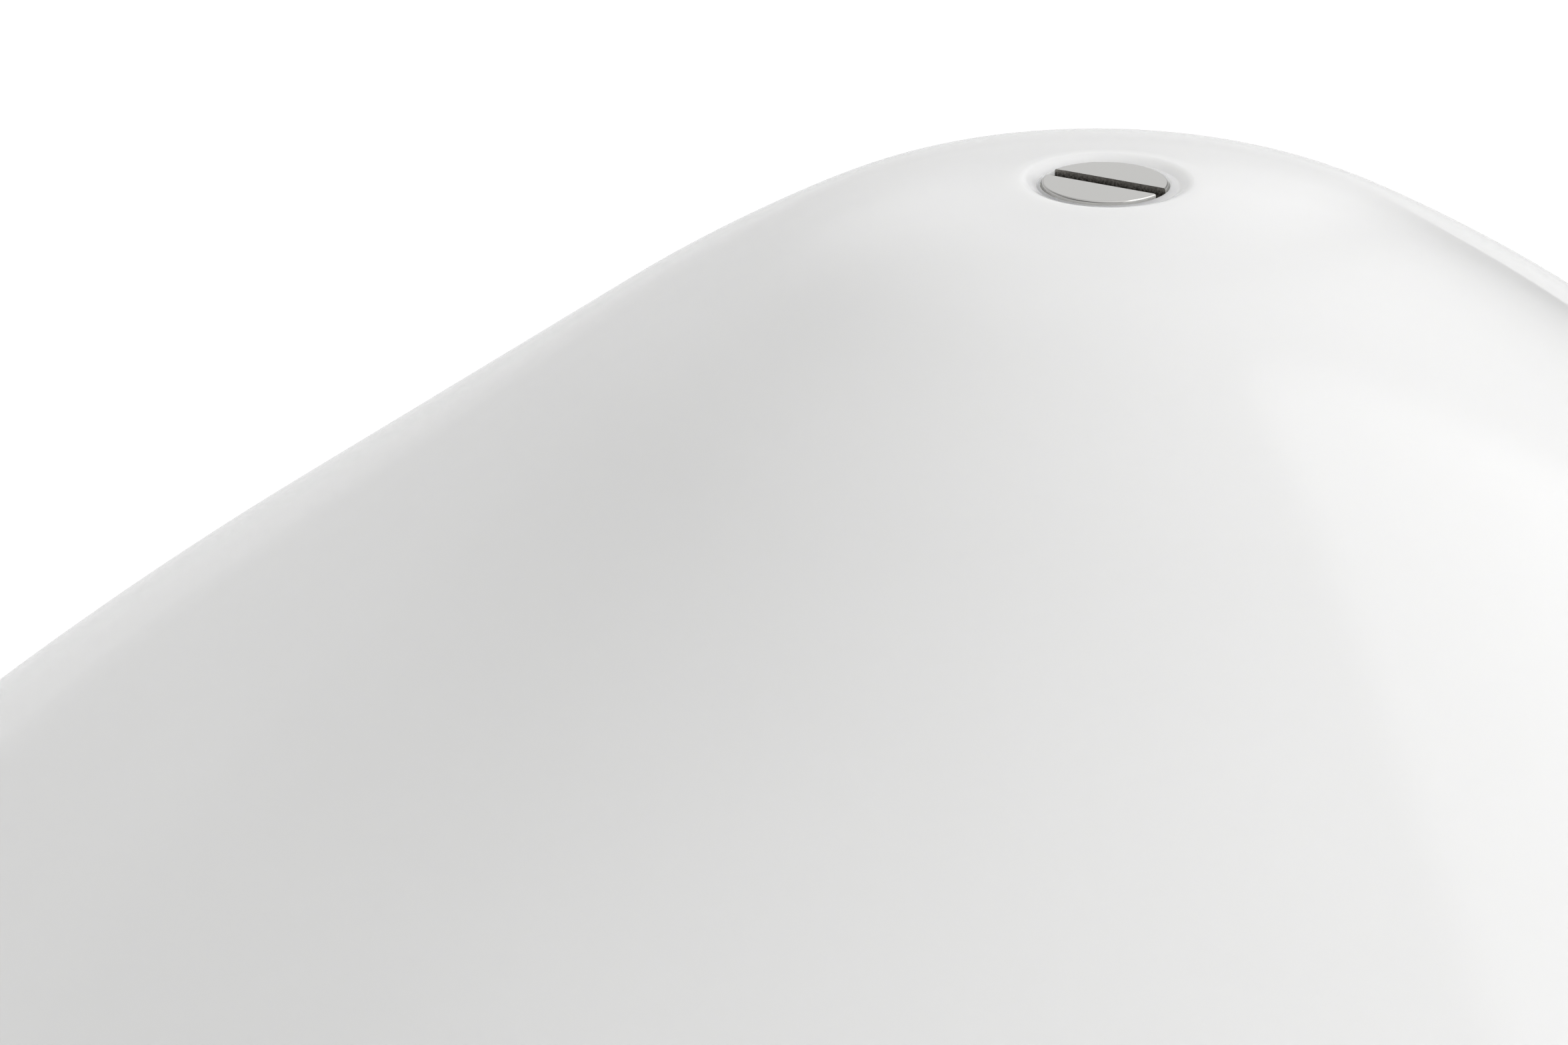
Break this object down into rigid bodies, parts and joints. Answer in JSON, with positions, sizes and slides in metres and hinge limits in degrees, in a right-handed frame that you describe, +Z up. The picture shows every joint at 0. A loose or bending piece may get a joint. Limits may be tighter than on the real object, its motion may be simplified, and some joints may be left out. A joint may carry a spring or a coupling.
{
  "type": "table lamp",
  "caption": "Table lamp with a wide bell-shaped opal shade held by a slotted screw sunk in its crown, on a central chrome stem and a round weighted base with a push switch.",
  "frame": {"origin": "on the table, under the middle of the base", "axes": "+Z up along the stem, -Y towards the viewer, the cord inlet at +Y"},
  "size_m": [0.4872, 0.4872, 0.4993],
  "materials": {
    "opal_acrylic": "glossy white opal acrylic",
    "polished_chrome": "polished",
    "plated_steel": "zinc plated",
    "black_rubber": "matt",
    "white_enamel": "gloss white enamel",
    "dark_enamel": "matt black paint",
    "cast_iron": "as cast, painted",
    "ivory_plastic": "satin moulded",
    "black_plastic": "matt moulded",
    "brass": "satin",
    "frosted_glass": "frosted",
    "cable_jacket": "flexible white jacket",
    "spring_steel": "bright wire"
  },
  "bodies": {
    "lamp": {"seat_gasket": "black_rubber", "shade_seat": "plated_steel", "stem_tube": "polished_chrome", "stem_plug": "plated_steel", "stem_nipple": "plated_steel", "stem_collar": "polished_chrome", "holder_plate": "white_enamel", "plate_collar": "plated_steel", "collar_screw": "plated_steel", "holder_nipples": "brass", "nipple_nuts": "brass", "holder_base_1": "ivory_plastic", "holder_base_2": "ivory_plastic", "holder_base_3": "ivory_plastic", "holder_sleeve_1": "ivory_plastic", "holder_sleeve_2": "ivory_plastic", "holder_sleeve_3": "ivory_plastic", "holder_thread_1": "brass", "holder_thread_2": "brass", "holder_thread_3": "brass", "holder_contact_1": "brass", "holder_contact_2": "brass", "holder_contact_3": "brass", "holder_leads": "cable_jacket", "lead_grommets": "black_rubber", "splice_cap": "ivory_plastic", "stem_cable": "cable_jacket", "base_shell": "white_enamel", "base_weight": "cast_iron", "base_plate": "dark_enamel", "base_screws": "plated_steel", "foot_pad": "black_rubber", "clamp_nut": "brass", "lock_washer": "plated_steel", "cord_grommet": "black_rubber", "terminal_block": "ivory_plastic", "terminal_screws": "brass", "switch_bezel": "polished_chrome", "switch_nut": "plated_steel", "switch_body": "black_plastic", "switch_spring": "spring_steel", "switch_lead": "cable_jacket"},
    "shade": {"shade": "opal_acrylic"},
    "screw_washer": {"head_washer": "plated_steel"},
    "screw": {"retaining_screw": "polished_chrome"},
    "bulb_1_foot": {"bulb_tip_1": "plated_steel"},
    "bulb_1": {"bulb_glass_1": "frosted_glass", "bulb_cap_1": "plated_steel"},
    "bulb_2_foot": {"bulb_tip_2": "plated_steel"},
    "bulb_2": {"bulb_glass_2": "frosted_glass", "bulb_cap_2": "plated_steel"},
    "bulb_3_foot": {"bulb_tip_3": "plated_steel"},
    "bulb_3": {"bulb_glass_3": "frosted_glass", "bulb_cap_3": "plated_steel"},
    "switch_button": {"switch_button": "polished_chrome"}
  },
  "joints": [
    {"name": "shade_lift", "type": "slide", "parent": "lamp", "child": "shade", "axis": [0, 0, 1], "range_m": [0, 0.2]},
    {"name": "screw_rise", "type": "slide", "parent": "shade", "child": "screw_washer", "axis": [0, 0, 1], "range_m": [0, 0.0113]},
    {"name": "screw_turn", "type": "hinge", "parent": "screw_washer", "child": "screw", "pos_m": [0, 0, 0.49], "axis": [0, 0, 1], "range_deg": [0, 3240]},
    {"name": "bulb_1_rise", "type": "slide", "parent": "lamp", "child": "bulb_1_foot", "axis": [0, 0, 1], "range_m": [0, 0.0198]},
    {"name": "bulb_1_turn", "type": "hinge", "parent": "bulb_1_foot", "child": "bulb_1", "pos_m": [0, 0.065, 0.36], "axis": [0, 0, 1], "range_deg": [0, 2520]},
    {"name": "bulb_2_rise", "type": "slide", "parent": "lamp", "child": "bulb_2_foot", "axis": [0, 0, 1], "range_m": [0, 0.0198]},
    {"name": "bulb_2_turn", "type": "hinge", "parent": "bulb_2_foot", "child": "bulb_2", "pos_m": [-0.05629, -0.0325, 0.36], "axis": [0, 0, 1], "range_deg": [0, 2520]},
    {"name": "bulb_3_rise", "type": "slide", "parent": "lamp", "child": "bulb_3_foot", "axis": [0, 0, 1], "range_m": [0, 0.0198]},
    {"name": "bulb_3_turn", "type": "hinge", "parent": "bulb_3_foot", "child": "bulb_3", "pos_m": [0.05629, -0.0325, 0.36], "axis": [0, 0, 1], "range_deg": [0, 2520]},
    {"name": "switch_press", "type": "slide", "parent": "lamp", "child": "switch_button", "axis": [0, 0, -1], "range_m": [0, 0.0025], "stiffness_N_per_m": 400, "springref_m": -0.002, "deforming": ["switch_spring"]}
  ],
  "couplings": [
    {"joint": "screw_rise", "follows": "screw_turn", "m_per_rad": 0.00019894},
    {"joint": "bulb_1_rise", "follows": "bulb_1_turn", "m_per_rad": 0.00044882},
    {"joint": "bulb_2_rise", "follows": "bulb_2_turn", "m_per_rad": 0.00044882},
    {"joint": "bulb_3_rise", "follows": "bulb_3_turn", "m_per_rad": 0.00044882}
  ]
}
